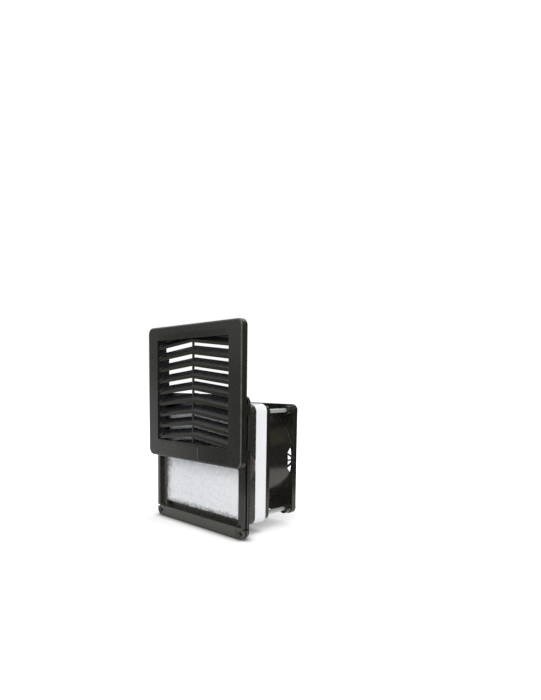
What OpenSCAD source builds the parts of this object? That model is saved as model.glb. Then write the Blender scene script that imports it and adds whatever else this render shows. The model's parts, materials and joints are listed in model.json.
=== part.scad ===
// Cabinet filter fan: a louvred cover that slides up on a wall frame, a filter mat,
// a white spacer frame and a square axial fan with an external-rotor motor.
// Front faces -Y, +Z is up, and y = 0 is the cabinet panel's front face. Millimetres.

/* [Fan] */
// Side of the square fan
fan_w = 92; // [84:1:110]
// Depth of the fan
fan_d = 38.5; // [36:0.5:48]
// Distance from a fan hole's centre to the fan's edge
hole_edge = 4.75; // [4.5:0.05:6]
// Diameter of the fan's corner holes
fan_hole_d = 4.3; // [4:0.1:5]
// Thickness of the fan's front flange
front_flange_t = 5.6; // [3:0.1:6]
// Thickness of the fan's rear flange
rear_flange_t = 4.4; // [3.5:0.1:6]
// Corner radius of the fan's flanges
fan_corner_r = 5; // [3:0.5:7]
// Wall of the fan's barrel
barrel_t = 1.6; // [1.5:0.1:3]
// Gap between the barrel and the square's side
barrel_inset = 0.4; // [0.2:0.1:1]
// Depth of the side windows in front of the rear flange
side_window_d = 5.8; // [4:0.2:7]
// Half height of a side window at the rear flange
side_window_h = 12; // [8:0.5:14]
// Half height of a side window at its front edge
side_window_front_h = 5.8; // [3:0.2:7]
// Width of the struts in a side window
strut_w = 1.1; // [0.8:0.1:1.6]
// Width of the four arms that carry the motor
arm_w = 5; // [3:0.5:8]
// How far the arms' ends are let into the barrel
arm_seat = 1.4; // [1:0.1:1.6]
// Length of the bosses in front of the rear flange's holes
corner_boss_l = 6; // [3:0.5:10]
// Wall of those bosses around their holes
corner_boss_wall = 1.9; // [1.5:0.1:3]

/* [Impeller and motor] */
// Number of fan blades
blade_n = 5; // [3:1:7]
// Thickness of a blade
blade_t = 1.8; // [1.2:0.1:2.6]
// Camber radius of a blade
blade_camber_r = 30; // [26:1:40]
// Slant of a blade's chord from the shaft
blade_slant = 42; // [35:1:50]
// Gap between the blade tips and the barrel
tip_clear = 0.9; // [0.6:0.1:1.5]
// Outer radius of the impeller's hub
hub_r = 25; // [24:0.5:28]
// Wall of the impeller's hub
hub_wall = 1.7; // [1.2:0.1:2]
// Wall of the steel rotor cup
cup_wall = 1.6; // [1.2:0.1:2]
// Wall of the laminated rotor ring
rotor_ring_wall = 2.4; // [2:0.1:3]
// Air gap between rotor and stator
air_gap = 0.4; // [0.3:0.05:0.6]
// Depth of the laminated stator
stator_d = 10; // [8:0.5:11]
// Share of the stator's radial depth taken by its ring around the bearing tube
yoke_share = 0.26; // [0.2:0.01:0.3]
// Width of a stator pole
pole_w = 5; // [4:0.25:6]
// Thickness of a stator coil around its pole
coil_t = 2.2; // [1.5:0.1:2.4]
// Diameter of the shaft
shaft_d = 4; // [3:0.1:5]
// Outer diameter of the ball bearings
bearing_d = 12; // [11.5:0.1:13]
// Width of a ball bearing
bearing_w = 4; // [3.5:0.1:5]
// Number of balls in a bearing
ball_n = 7; // [5:1:7]
// Distance between the two bearings' fronts
bearing_pitch = 15; // [14.5:0.5:16]
// Thickness of the spring washer behind the rear bearing
preload_t = 0.8; // [0.5:0.1:1.2]
// Wall of the bearing tube
tube_wall = 1.5; // [1.2:0.1:2]
// Thickness of the rear motor plate
motor_plate_t = 3; // [2.5:0.1:4]
// Radius of the cap in the motor plate
cap_r = 11; // [9:0.5:14]
// Thickness of that cap
cap_t = 0.8; // [0.5:0.1:1.2]
// Radial running clearance of turning and sliding fits
run_clear = 0.04; // [0.02:0.01:0.08]

/* [Spacer and screws] */
// Depth of the white spacer frame
spacer_d = 11.8; // [8:0.2:20]
// How far the spacer stands out around the body
spacer_lip = 0.2; // [0:0.1:0.6]
// Corner radius of the spacer and of the body behind the panel
body_corner_r = 6; // [4:0.5:8]
// Diameter of the long fan screws
screw_d = 3.5; // [3:0.1:4]
// Radial clearance of a screw in the frame's bosses
screw_clear = 0.05; // [0.03:0.01:0.1]
// Radius of a screw head
screw_head_r = 3.3; // [3:0.1:4.4]
// Height of a screw head
screw_head_h = 1.5; // [1.5:0.1:3]
// Thickness of a screw's washer
washer_t = 0.5; // [0.5:0.1:1.2]
// How far a washer stands out around a screw head
washer_rim = 0.6; // [0.3:0.1:1]

/* [Base frame] */
// Width of the body behind the panel beyond the fan, on each side
body_margin = 1.5; // [1:0.1:4]
// Depth of the body from the flange to its rear
body_d = 15; // [14:0.5:22]
// Wall of the body
wall = 1.8; // [1.5:0.1:2.2]
// Width of the front flange around the body
flange_border = 7.5; // [7:0.1:12]
// Thickness of the front flange
flange_t = 4.4; // [4:0.1:6]
// Corner radius of the front flange
flange_corner_r = 5.5; // [4.5:0.5:8]
// Width and depth of the line between the lower bar and the corners
sill_line = 0.5; // [0.3:0.1:0.8]
// Depth of the wide recess around the filter opening
recess_d = 3; // [2.7:0.1:3.2]
// Wall between that recess and the guide grooves
recess_wall = 1.6; // [1:0.1:2]
// Depth of the slot over the filter opening that the cover's pressing bars pass
top_channel_d = 2.8; // [2.6:0.1:3]
// Thickness of the body's rear plate
rear_plate_t = 2; // [1.5:0.1:3]
// Wall of a screw boss
boss_wall = 2.4; // [2:0.1:2.6]
// Height of the ledges that the mat stands between
ledge_h = 4.2; // [3:0.1:6]
// Thickness of those ledges
ledge_t = 1.5; // [1:0.1:2]
// Distance of the panel screw holes from the flange's edge
panel_hole_edge = 4.5; // [4.4:0.1:5]
// Diameter of the panel screw holes
panel_hole_d = 3.4; // [3:0.1:3.6]
// Diameter of the recess for a panel screw's head
panel_head_d = 6; // [5.6:0.1:6.2]
// Depth of that recess
panel_head_depth = 0.9; // [0.5:0.1:1]
// Thickness of the panel gasket
gasket_t = 2; // [1:0.1:3]
// Gap between the gasket and the flange's edge
gasket_inset = 1; // [0.5:0.1:1.5]
// Gap between the body and the panel cut-out, on each side
cutout_clear = 1; // [0.5:0.1:1.2]

/* [Filter] */
// Thickness of the filter mat
mat_t = 5.7; // [4:0.1:5.9]
// Depth of the mat's front behind the flange's front
mat_recess = 2.7; // [2.6:0.05:3]
// Clearance around the mat
mat_clear = 0.3; // [0.2:0.05:0.6]
// Thickness of the support grid
grid_t = 2.7; // [2:0.1:3]
// Width of the grid's bars
grid_bar = 2; // [1.5:0.1:3]
// Number of grid openings across and down
grid_n = 6; // [4:1:8]
// Gap between the grid's sides and the body's wall
grid_side_gap = 3.7; // [3:0.1:5]

/* [Cover] */
// How far the cover is raised from its closed place
raise = 55.5; // [0:0.5:56]
// Depth of the cover's skirt
cover_d = 5.9; // [5.4:0.1:7]
// Thickness of the cover's plate
cover_t = 2; // [1.6:0.1:2.4]
// Thickness of the cover's skirt
skirt_t = 2; // [1.6:0.1:2.4]
// Gap between the skirt and the flange's side
cover_side_gap = 1; // [0.6:0.1:1.4]
// Gap between the skirt and the flange's front
cover_gap = 1.5; // [1.2:0.1:2.5]
// Rounding of the cover's front edge
cover_edge_r = 1.6; // [1:0.1:1.9]
// Width of the border beside the louvres
window_side = 13.5; // [12.5:0.1:18]
// Height of the border over the louvres
window_top = 11.4; // [10:0.1:18]
// Height of the border under the louvres
window_bottom = 14.4; // [10:0.1:18]
// Number of louvre slots
slot_n = 9; // [6:1:10]
// Height from one louvre to the next
louvre_pitch = 9.45; // [8:0.05:11]
// Depth of the louvres' front edges behind the cover's face
louvre_recess = 1.5; // [1:0.1:2]
// Height of a louvre's front edge
louvre_t = 2.3; // [1.6:0.1:3]
// Rise of a louvre from its front edge to its rear edge
louvre_rise = 4.8; // [2:0.1:5]
// Thickness of the plate that closes the corners over the top louvre
header_t = 1.2; // [0.8:0.1:1.6]
// Fall of the louvres from the middle to the sides, in degrees
louvre_fall = 6.3; // [0:0.1:15]
// Width of the rib that joins the louvres in the middle
middle_rib_w = 1.7; // [1.5:0.1:4]
// Depth of that rib
middle_rib_d = 1.2; // [0.8:0.1:2]
// Distance of that rib behind the louvres' front edges
middle_rib_recess = 1.2; // [0.5:0.1:2]
// Width of the bars behind the louvres' ends that press on the mat
press_bar_w = 4; // [2:0.1:6]
// Distance from a pressing bar's upper end to the window's top
press_end = 14.5; // [10:0.5:20]
// Gap between a pressing bar and the mat
press_gap = 0.35; // [0.3:0.01:0.6]
// Width of the shallow plain field in the lower border
field_w = 35; // [20:1:60]
// Height of that field
field_h = 9.5; // [5:0.1:12]
// Depth of that field
field_depth = 0.3; // [0.2:0.05:0.5]

/* [Cover guides] */
// Depth of the guide grooves in the flange's sides
groove_d = 1.6; // [1.4:0.1:2]
// Width of a guide groove
groove_w = 1.8; // [1.6:0.1:2.2]
// Thickness of the lip in front of a guide groove
groove_lip = 1.2; // [1:0.1:1.6]
// Distance from the flange's lower edge to the grooves' ends
groove_end = 3; // [1:0.5:6]
// Clearance of a guide foot in its groove
foot_clear = 0.3; // [0.25:0.01:0.4]
// Height of a guide foot
foot_h = 8; // [5:0.5:12]
// Height of the lower feet over the cover's lower edge
foot_low = 6; // [5:0.5:12]
// Height from the lower feet to the upper feet
foot_pitch = 34; // [20:1:34]
// Height of the small edge notch over the flange's lower edge
notch_z = 8.5; // [8.5:0.1:12]
// Height of the small edge notch
notch_h = 1.8; // [1:0.1:3]
// Depth of the small edge notch
notch_d = 2.6; // [2:0.1:3]

/* [Side clips] */
// Distance of a clip's catch behind the panel's front face
clip_grip = 3.2; // [2.6:0.1:3.6]
// How far a clip's catch stands out from the body
clip_reach = 2.9; // [2.5:0.1:3.5]
// Half height of a clip's catch
clip_front_h = 12; // [9:0.5:16]
// Half height of a clip at its rear
clip_rear_h = 4.2; // [3.5:0.1:6]
// Flat depth of a clip's catch before the ramp
clip_land = 1.2; // [0.8:0.1:2]
// Radius of a clip's hub
clip_hub_r = 1.8; // [1.7:0.05:2]
// Radius of a clip's hinge pins
clip_pin_r = 1.1; // [0.9:0.05:1.2]
// Length of a clip's hinge pins
clip_pin_l = 2.4; // [1.5:0.1:3]
// Clearance around a clip
clip_clear = 0.6; // [0.4:0.1:0.8]
// Height of the guide pegs on the body's sides over and under the middle
peg_z = 29; // [22:0.5:36]
// Side of a guide peg
peg_w = 2.2; // [1.5:0.1:3]
// How far a guide peg stands out
peg_h = 0.6; // [0.3:0.1:0.8]

/* [Terminals] */
// Width of the terminal block
block_w = 11; // [9:0.5:12]
// Height of the terminal block
block_h = 3; // [2.5:0.1:3.2]
// Depth of the terminal block
block_d = 9; // [6:0.5:12]
// Distance from the terminal block's middle to the fan's side
block_edge = 15.5; // [14.5:0.5:17]
// Gap between the terminal block and the barrel
block_gap = 0.4; // [0.3:0.1:1]
// Width of a terminal blade
blade_w = 2.8; // [2:0.1:3.5]
// Thickness of a terminal blade
terminal_t = 0.5; // [0.4:0.1:0.8]
// Distance between the two terminal blades
terminal_pitch = 5.4; // [4.5:0.1:6]

/* [Hidden] */
$fn = 64;
eps = 0.01;

// Depths along Y
flange_back = -gasket_t;
flange_front = flange_back - flange_t;
cover_back = flange_front - cover_gap;
cover_front = cover_back - cover_d;
body_rear = flange_back + body_d;
spacer_rear = body_rear + spacer_d;
fan_front = spacer_rear;
fan_rear = fan_front + fan_d;
mat_front = flange_front + mat_recess;
mat_rear = mat_front + mat_t;
grid_front = mat_rear + mat_clear;
grid_rear = grid_front + grid_t;
plate_front = body_rear - rear_plate_t;

// Widths and heights
body_w = fan_w + 2 * body_margin;
inner_w = body_w - 2 * wall;
flange_w = body_w + 2 * flange_border;
cover_w = flange_w + 2 * (cover_side_gap + skirt_t);
cover_h = flange_w;
opening_h = inner_w - 2 * ledge_h;
cutout_w = body_w + 2 * cutout_clear;
hole_pitch = fan_w - 2 * hole_edge;
panel_pitch = flange_w - 2 * panel_hole_edge;
spacer_w = body_w + 2 * spacer_lip;
barrel_r = fan_w / 2 - barrel_inset;
bore_r = barrel_r - barrel_t;
tip_r = bore_r - tip_clear;

// Cover
cover_corner_r = flange_corner_r;
window_w = cover_w - 2 * window_side;
window_h = cover_h - window_top - window_bottom;
window_z = (window_bottom - window_top) / 2;
louvre_front = cover_front + louvre_recess;
louvre_d = cover_back - louvre_front;
louvre_reach = window_w / 2 + eps;
rib_front = louvre_front + middle_rib_recess;
press_rear = mat_front - press_gap;
press_front = louvre_front + louvre_d / 2;

// Guides
groove_front = flange_front + groove_lip;
groove_x = flange_w / 2 - groove_d;
foot_x = groove_x + foot_clear;
skirt_x = cover_w / 2 - skirt_t;
recess_w = 2 * (groove_x - recess_wall);

// Clips, for the right side
pivot_x = body_w / 2 - wall - 1.1;
pivot_y = body_rear - clip_hub_r - 0.4;
clip_tip_x = body_w / 2 + clip_reach;
clip_rear_y = pivot_y + clip_hub_r;
clip_window_front = clip_grip - 1.6;
ear_r = pivot_x - clip_hub_r;
lever_x = inner_w / 2 + 0.4 * wall;

// Motor
barrel_front = fan_front + front_flange_t;
rear_flange_front = fan_rear - rear_flange_t;
motor_plate_front = fan_rear - motor_plate_t;
plate_r = hub_r - 1;
bearing_r = bearing_d / 2;
tube_r = bearing_r + run_clear + tube_wall;
shaft_r = shaft_d / 2;
rear_bearing_y = motor_plate_front - preload_t - bearing_w;
front_bearing_y = rear_bearing_y - bearing_pitch;
tube_front = front_bearing_y - 0.5;
hub_front = fan_front + 4;
cup_front = hub_front + hub_wall;
cup_r = hub_r - hub_wall - run_clear;
cup_rear = motor_plate_front - 4.5;
ring_outer_r = cup_r - cup_wall - run_clear;
ring_inner_r = ring_outer_r - rotor_ring_wall;
stator_r = ring_inner_r - air_gap;
stator_hub_r = tube_r + yoke_share * (stator_r - tube_r);
stator_front = front_bearing_y + bearing_w + 0.5;
stator_rear = stator_front + stator_d;
shaft_front = cup_front;
shaft_rear = rear_bearing_y + bearing_w + 2.2;
ring_t = 0.6;
ball_orbit_r = (shaft_r + bearing_r) / 2;
ball_r = (bearing_r - shaft_r) * 0.25;
race_wall = (bearing_r - shaft_r) * 0.28;
blade_front = hub_front + 2;
blade_rear = rear_flange_front - side_window_d - 0.6;
block_x = fan_w / 2 - block_edge;
terminal_z = sqrt(pow(barrel_r + block_gap, 2) - pow(block_x - block_w / 2, 2)) + block_h / 2;

// Screws
screw_r = screw_d / 2;
boss_r = screw_r + screw_clear + boss_wall;
screw_front = grid_rear + 1;
washer_r = screw_head_r + washer_rim;

// A rounded rectangle around the origin
module rounded(w, h, r) {
    square([w - 2 * r, h], center = true);
    square([w, h - 2 * r], center = true);
    for (sx = [-1, 1], sy = [-1, 1])
        translate([sx * (w / 2 - r), sy * (h / 2 - r)]) circle(r);
}

// A rounded plate facing Y, from depth y0 to depth y1
module slab(w, h, r, y0, y1) {
    translate([0, y1, 0]) rotate([90, 0, 0]) linear_extrude(y1 - y0) rounded(w, h, r);
}

// A box from one corner to the other
module span(low, high) {
    translate(low) cube(high - low);
}

// A cylinder along Y, from depth y0 to depth y1
module rod(r, y0, y1) {
    translate([0, y0, 0]) rotate([-90, 0, 0]) cylinder(r = r, h = y1 - y0);
}

// A tube along Y
module tube(r_out, r_in, y0, y1) {
    difference() {
        rod(r_out, y0, y1);
        rod(r_in, y0 - 1, y1 + 1);
    }
}

// Copies at the four corners of a square of the given side
module at_corners(side) {
    for (sx = [-1, 1], sz = [-1, 1])
        translate([sx * side / 2, 0, sz * side / 2]) children();
}

// The thing itself and its mirror image on the other side
module both_sides() {
    for (m = [0, 1]) mirror([m, 0, 0]) children();
}

// Rim of a rounded plate: width r, with its outer front edge rounded by e
module rim_profile(r, depth, e) {
    steps = 5;
    arc = [for (i = [0:steps]) [r - e + e * cos(90 * i / steps), depth - e + e * sin(90 * i / steps)]];
    polygon(concat([[0, 0], [r, 0]], arc, [[0, depth]]));
}

// A rounded plate facing -Y whose front edge is rounded by e
module soft_slab(w, h, r, e, y0, y1) {
    depth = y1 - y0;
    half_w = w / 2 - r;
    half_h = h / 2 - r;
    translate([0, y1, 0]) rotate([90, 0, 0]) {
        for (turn = [0:3]) {
            along = turn % 2 == 0 ? half_h : half_w;
            out = turn % 2 == 0 ? half_w : half_h;
            rotate(90 * turn) translate([out, along, 0]) {
                rotate([90, 0, 0]) linear_extrude(2 * along) rim_profile(r, depth, e);
                rotate_extrude(angle = 90) rim_profile(r, depth, e);
            }
        }
        translate([-half_w, -half_h, 0]) cube([2 * half_w, 2 * half_h, depth]);
    }
}

// A bar whose section is given as depth against height, falling from the middle to both sides
module falling_bar() {
    both_sides() intersection() {
        rotate([0, louvre_fall, 0]) translate([-louvre_reach, 0, 0])
            rotate([90, 0, 90]) linear_extrude(2.2 * louvre_reach) children();
        span([0, cover_front, -window_h], [louvre_reach, flange_front, window_h]);
    }
}

// Section of a louvre, which slopes up to the rear
module louvre_section() {
    polygon([
        [louvre_front, -(louvre_t + louvre_rise) / 2],
        [louvre_front, (louvre_t - louvre_rise) / 2],
        [cover_back, (louvre_t + louvre_rise) / 2],
        [cover_back, (louvre_rise - louvre_t) / 2]
    ]);
}

// All louvres, closed over the top one and cut off at the window's edges
module louvres() {
    top_z = window_z + slot_n / 2 * louvre_pitch;
    intersection() {
        union() {
            for (i = [0:slot_n])
                translate([0, 0, top_z - i * louvre_pitch]) falling_bar() louvre_section();
            translate([0, 0, top_z]) falling_bar()
                translate([cover_back - header_t, (louvre_rise - louvre_t) / 2]) square([header_t, window_h]);
        }
        translate([0, 0, window_z]) span([-louvre_reach, cover_front, -window_h / 2 - eps],
                                         [louvre_reach, flange_front, window_h / 2 + eps]);
    }
}

// A guide foot on its leg, right side
module guide_foot(z) {
    span([skirt_x, cover_back - eps, z], [cover_w / 2, groove_front + groove_w - foot_clear, z + foot_h]);
    span([foot_x, groove_front + foot_clear, z],
         [cover_w / 2, groove_front + groove_w - foot_clear, z + foot_h]);
}

// Bar behind the louvres' ends, right side, shallower at its top
module press_bar() {
    low = window_z - window_h / 2;
    high = window_z + window_h / 2;
    inner = window_w / 2 - press_bar_w;
    span([inner, press_front, low - eps], [louvre_reach, cover_back + 1, high + eps]);
    span([inner, cover_back, low + 1], [window_w / 2, press_rear, high - press_end]);
}

// The moulded cover with its louvres, pressing bars and guide feet
module front_grille() {
    color("#2c2c2b") translate([0, 0, raise]) {
        difference() {
            soft_slab(cover_w, cover_h, cover_corner_r, cover_edge_r, cover_front, cover_back);
            slab(cover_w - 2 * skirt_t, cover_h - 2 * skirt_t, cover_corner_r - skirt_t,
                 cover_front + cover_t, cover_back + 1);
            translate([0, 0, window_z]) slab(window_w, window_h, 0.6, cover_front - 1, cover_back);
            translate([window_w / 2 - field_w, cover_front - 1, -(cover_h - window_bottom + field_h) / 2])
                cube([field_w, 1 + field_depth, field_h]);
        }
        louvre_frame();
        louvres();
        span([-middle_rib_w / 2, rib_front, window_z - window_h / 2 - eps],
             [middle_rib_w / 2, rib_front + middle_rib_d, window_z + window_h / 2 + eps]);
        both_sides() {
            press_bar();
            guide_foot(foot_low - cover_h / 2);
            guide_foot(foot_low + foot_pitch - cover_h / 2);
        }
    }
}

// The wall around the louvres behind the cover's plate
module louvre_frame() {
    translate([0, 0, window_z]) difference() {
        slab(window_w + 2 * cover_t, window_h + 2 * cover_t, 0.6 + cover_t,
             cover_front + cover_t - eps, cover_back);
        slab(window_w, window_h, 0.6, cover_front, cover_back + 1);
    }
}

// Outline of a clip or of its window on the body's side: depth against height
module clip_outline(grow, front_y, rear_y) {
    slope = (clip_front_h - clip_rear_h) / (clip_rear_y - clip_grip);
    front_h = clip_front_h + slope * (clip_grip - front_y) + grow;
    rear_h = clip_rear_h + slope * (clip_rear_y - rear_y) + grow;
    polygon([[front_y, -front_h], [rear_y, -rear_h], [rear_y, rear_h], [front_y, front_h]]);
}

// Ears that carry a clip's hinge pins, right side
module clip_ears() {
    for (s = [0, 1]) mirror([0, 0, s])
        span([ear_r, pivot_y - clip_hub_r, clip_rear_h + clip_clear],
             [inner_w / 2 + eps, body_rear, clip_rear_h + clip_clear + clip_pin_l]);
}

// Room for a clip in the body's side, right side
module clip_room() {
    rotate([90, 0, 90]) translate([0, 0, inner_w / 2 - eps]) linear_extrude(wall + 1)
        clip_outline(clip_clear, clip_window_front, body_rear + 1);
    span([ear_r - clip_clear, pivot_y - clip_hub_r - clip_clear, -clip_rear_h - clip_clear],
         [inner_w / 2 + eps, body_rear + 1, clip_rear_h + clip_clear]);
}

// Holes for a clip's hinge pins, right side
module clip_bores() {
    length = clip_rear_h + clip_clear + clip_pin_l + 1;
    translate([pivot_x, pivot_y, -length]) cylinder(r = clip_pin_r + run_clear, h = 2 * length);
}

// Small peg that centres the body in the panel cut-out, right side
module guide_pegs() {
    for (s = [-1, 1])
        span([body_w / 2 - eps, clip_grip + 3, s * peg_z - peg_w / 2],
             [body_w / 2 + peg_h, clip_grip + 3 + peg_w, s * peg_z + peg_w / 2]);
}

// Cuts in the flange for one cover guide, right side
module guide_cuts() {
    span([groove_x, groove_front, groove_end - flange_w / 2],
         [flange_w / 2 + 1, groove_front + groove_w, flange_w / 2 + 1]);
    span([flange_w / 2 - notch_d, flange_front - 1, notch_z - notch_h / 2 - flange_w / 2],
         [flange_w / 2 + 1, flange_back + 1, notch_z + notch_h / 2 - flange_w / 2]);
}

// Line between the lower bar and the corner, right side
module corner_line() {
    span([inner_w / 2, flange_front - 1, -flange_w / 2 - 1],
         [inner_w / 2 + sill_line, flange_front + sill_line, eps - inner_w / 2]);
}

// Flange with its opening, guides and panel screw holes
module flange() {
    difference() {
        slab(flange_w, flange_w, flange_corner_r, flange_front, flange_back);
        slab(inner_w, inner_w, 1.5, flange_front - 1, flange_back + 1);
        slab(recess_w, inner_w, 1.5, flange_front - 1, flange_front + recess_d);
        span([-inner_w / 2, flange_front - 1, 0], [inner_w / 2, flange_front + top_channel_d, flange_w]);
        both_sides() {
            guide_cuts();
            corner_line();
        }
        at_corners(panel_pitch) {
            rod(panel_hole_d / 2, flange_front - 1, flange_back + 1);
            rod(panel_head_d / 2, flange_front - 1, flange_front + panel_head_depth);
        }
    }
}

// Body behind the panel with its rear plate, ledges and screw bosses
module body() {
    difference() {
        union() {
            difference() {
                slab(body_w, body_w, body_corner_r, flange_back - eps, body_rear);
                slab(inner_w, inner_w, body_corner_r - wall, flange_back - 1, plate_front);
                rod(bore_r, flange_back, body_rear + 1);
                both_sides() clip_room();
            }
            both_sides() clip_ears();
            both_sides() guide_pegs();
            for (s = [0, 1]) mirror([0, 0, s])
                span([-inner_w / 2 - eps, mat_rear - ledge_t, opening_h / 2],
                     [inner_w / 2 + eps, mat_rear, inner_w / 2 + eps]);
            at_corners(hole_pitch) rod(boss_r, grid_rear, plate_front + eps);
        }
        at_corners(hole_pitch) rod(screw_r + screw_clear, grid_rear - 1, body_rear + 1);
        both_sides() clip_bores();
    }
}

// The moulded frame that is fastened to the cabinet panel
module base_frame() {
    color("#30312d") {
        flange();
        body();
    }
}

// Foam ring between the flange and the panel
module panel_gasket() {
    gasket_w = flange_w - 2 * gasket_inset;
    color("#1b1b1b") difference() {
        slab(gasket_w, gasket_w, flange_corner_r - gasket_inset, flange_back, 0);
        slab(cutout_w, cutout_w, body_corner_r + cutout_clear, flange_back - 1, 1);
        at_corners(panel_pitch) rod(panel_hole_d / 2 + 0.5, flange_back - 1, 1);
    }
}

// Fleece mat in the filter opening
module filter_mat() {
    color("#dfe2e4")
        slab(inner_w - 2 * mat_clear, opening_h - 2 * mat_clear, 1.5, mat_front, mat_rear);
}

// Grid that keeps the mat off the fan, seated on the screw bosses
module filter_grid() {
    grid_w = inner_w - 2 * grid_side_gap;
    grid_h = inner_w - 2 * mat_clear;
    step_x = (grid_w - grid_bar) / grid_n;
    step_z = (grid_h - grid_bar) / grid_n;
    color("#262725") difference() {
        slab(grid_w, grid_h, body_corner_r - wall, grid_front, grid_rear);
        for (i = [0:grid_n - 1], k = [0:grid_n - 1])
            translate([i * step_x - grid_w / 2, grid_front - 1, k * step_z - grid_h / 2])
                translate([grid_bar, 0, grid_bar]) cube([step_x - grid_bar, grid_t + 2, step_z - grid_bar]);
    }
}

// A panel clip for the right side: a ramped lever on a neck with a hub and two hinge pins
module clip() {
    pin_end = clip_rear_h + clip_clear + clip_pin_l;
    intersection() {
        translate([0, 0, -clip_front_h]) linear_extrude(2 * clip_front_h) polygon([
            [lever_x, clip_rear_y],
            [body_w / 2 - 0.2, clip_rear_y],
            [clip_tip_x, clip_grip + clip_land],
            [clip_tip_x, clip_grip],
            [lever_x, clip_grip]
        ]);
        rotate([90, 0, 90]) linear_extrude(clip_tip_x + 1) clip_outline(0, clip_grip, clip_rear_y);
    }
    translate([0, 0, -clip_rear_h]) linear_extrude(2 * clip_rear_h) polygon([
        [pivot_x, clip_rear_y],
        [lever_x + eps, clip_rear_y],
        [lever_x + eps, pivot_y - clip_hub_r],
        [pivot_x, pivot_y - clip_hub_r / 2]
    ]);
    translate([pivot_x, pivot_y, -clip_rear_h]) cylinder(r = clip_hub_r, h = 2 * clip_rear_h);
    translate([pivot_x, pivot_y, -pin_end]) cylinder(r = clip_pin_r, h = 2 * pin_end);
}

module left_clip() {
    color("#3a3632") mirror([1, 0, 0]) clip();
}

module right_clip() {
    color("#3a3632") clip();
}

// White frame between the body and the fan
module spacer_frame() {
    color("#eef1f3") difference() {
        slab(spacer_w, spacer_w, body_corner_r + spacer_lip, body_rear, spacer_rear);
        rod(bore_r, body_rear - 1, spacer_rear + 1);
        at_corners(hole_pitch) rod(fan_hole_d / 2, body_rear - 1, spacer_rear + 1);
    }
}

// Struts and opening of one side window, seen from +X: depth against height
module window_outline() {
    front = rear_flange_front - side_window_d;
    rear = rear_flange_front;
    half = strut_w / 2;
    inner_h = side_window_front_h * 0.2;
    for (s = [0, 1]) mirror([0, s]) {
        polygon([
            [front, side_window_front_h + half],
            [rear, inner_h + 2 * half + strut_w],
            [rear, side_window_h]
        ]);
        polygon([
            [front, half],
            [front, side_window_front_h - half],
            [rear - half, inner_h + half],
            [rear - half, half]
        ]);
    }
}

// Square frame of the fan: two flanges and the barrel
module fan_frame() {
    color("#1c1b1a") difference() {
        union() {
            slab(fan_w, fan_w, fan_corner_r, fan_front, barrel_front);
            slab(fan_w, fan_w, fan_corner_r, rear_flange_front, fan_rear);
            rod(barrel_r, barrel_front - eps, rear_flange_front + eps);
            at_corners(hole_pitch)
                rod(fan_hole_d / 2 + corner_boss_wall, rear_flange_front - corner_boss_l, fan_rear - eps);
        }
        rod(bore_r, fan_front - 1, fan_rear + 1);
        for (turn = [0:3]) rotate([0, 90 * turn, 0]) rotate([90, 0, 90])
            translate([0, 0, hub_r]) linear_extrude(fan_w) window_outline();
        at_corners(hole_pitch) rod(fan_hole_d / 2, fan_front - 1, fan_rear + 1);
        motor_arms(run_clear, 1);
    }
}

// The four arms across the barrel's rear, grown by a clearance and lengthened to the rear
module motor_arms(grow, behind) {
    for (turn = [0:3]) rotate([0, 45 + 90 * turn, 0])
        span([0, motor_plate_front - grow, -arm_w / 2 - grow],
             [bore_r + arm_seat + grow, fan_rear + behind, arm_w / 2 + grow]);
}

// Arms, rear plate and bearing tube that carry the motor
module motor_bracket() {
    color("#1c1b1a") difference() {
        union() {
            motor_arms(0, 0);
            rod(plate_r, motor_plate_front, fan_rear);
            rod(tube_r, tube_front, motor_plate_front + eps);
        }
        rod(bearing_r + run_clear, tube_front - 1, motor_plate_front + 1);
        rod(cap_r, fan_rear - cap_t, fan_rear + 1);
        rod(bearing_r - 1, motor_plate_front, fan_rear);
    }
}

// Bare round cap over the shaft's end
module motor_cap() {
    color("#8d8f90") rod(cap_r - run_clear, fan_rear - cap_t, fan_rear);
}

// One blade along +X: a curved plate between hub and tip
module blade() {
    span_angle = 2 * asin((blade_rear - blade_front) / (2 * blade_camber_r * cos(blade_slant)));
    middle = (blade_front + blade_rear) / 2;
    reach = blade_camber_r + blade_t;
    rotate([90, 0, 90]) linear_extrude(tip_r + 1) translate([middle, 0]) rotate(blade_slant)
        translate([0, -blade_camber_r]) intersection() {
            difference() {
                circle(blade_camber_r + blade_t / 2);
                circle(blade_camber_r - blade_t / 2);
            }
            polygon([
                [0, 0],
                [reach * tan(span_angle / 2), reach],
                [-reach * tan(span_angle / 2), reach]
            ]);
        }
}

// Hub shell and blades
module impeller() {
    color("#161616") {
        difference() {
            rod(hub_r, hub_front, cup_rear);
            rod(cup_r + run_clear, cup_front, cup_rear + 1);
        }
        intersection() {
            for (i = [0:blade_n - 1]) rotate([0, 360 * i / blade_n, 0]) blade();
            tube(tip_r, hub_r - hub_wall / 2, blade_front, blade_rear);
        }
    }
}

// Steel cup pressed into the hub, with the boss that holds the shaft
module rotor_cup() {
    color("#777a7d") difference() {
        union() {
            tube(cup_r, cup_r - cup_wall, cup_front, cup_rear);
            rod(cup_r, cup_front, cup_front + cup_wall);
            rod(shaft_r + 2, cup_front, tube_front - 0.5);
        }
        rod(shaft_r + run_clear, cup_front - 1, tube_front);
    }
}

// Laminated ring in the cup
module rotor_ring() {
    color("#5d6063") tube(ring_outer_r, ring_inner_r, stator_front - 0.5, stator_rear + 0.5);
}

// Shaft with a groove for the retaining ring
module shaft() {
    groove_y = rear_bearing_y + bearing_w + 0.6;
    color("#b9bcc0") difference() {
        rod(shaft_r, shaft_front, shaft_rear);
        tube(shaft_r + 1, shaft_r * 0.8, groove_y, groove_y + ring_t + 2 * run_clear);
    }
}

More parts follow.
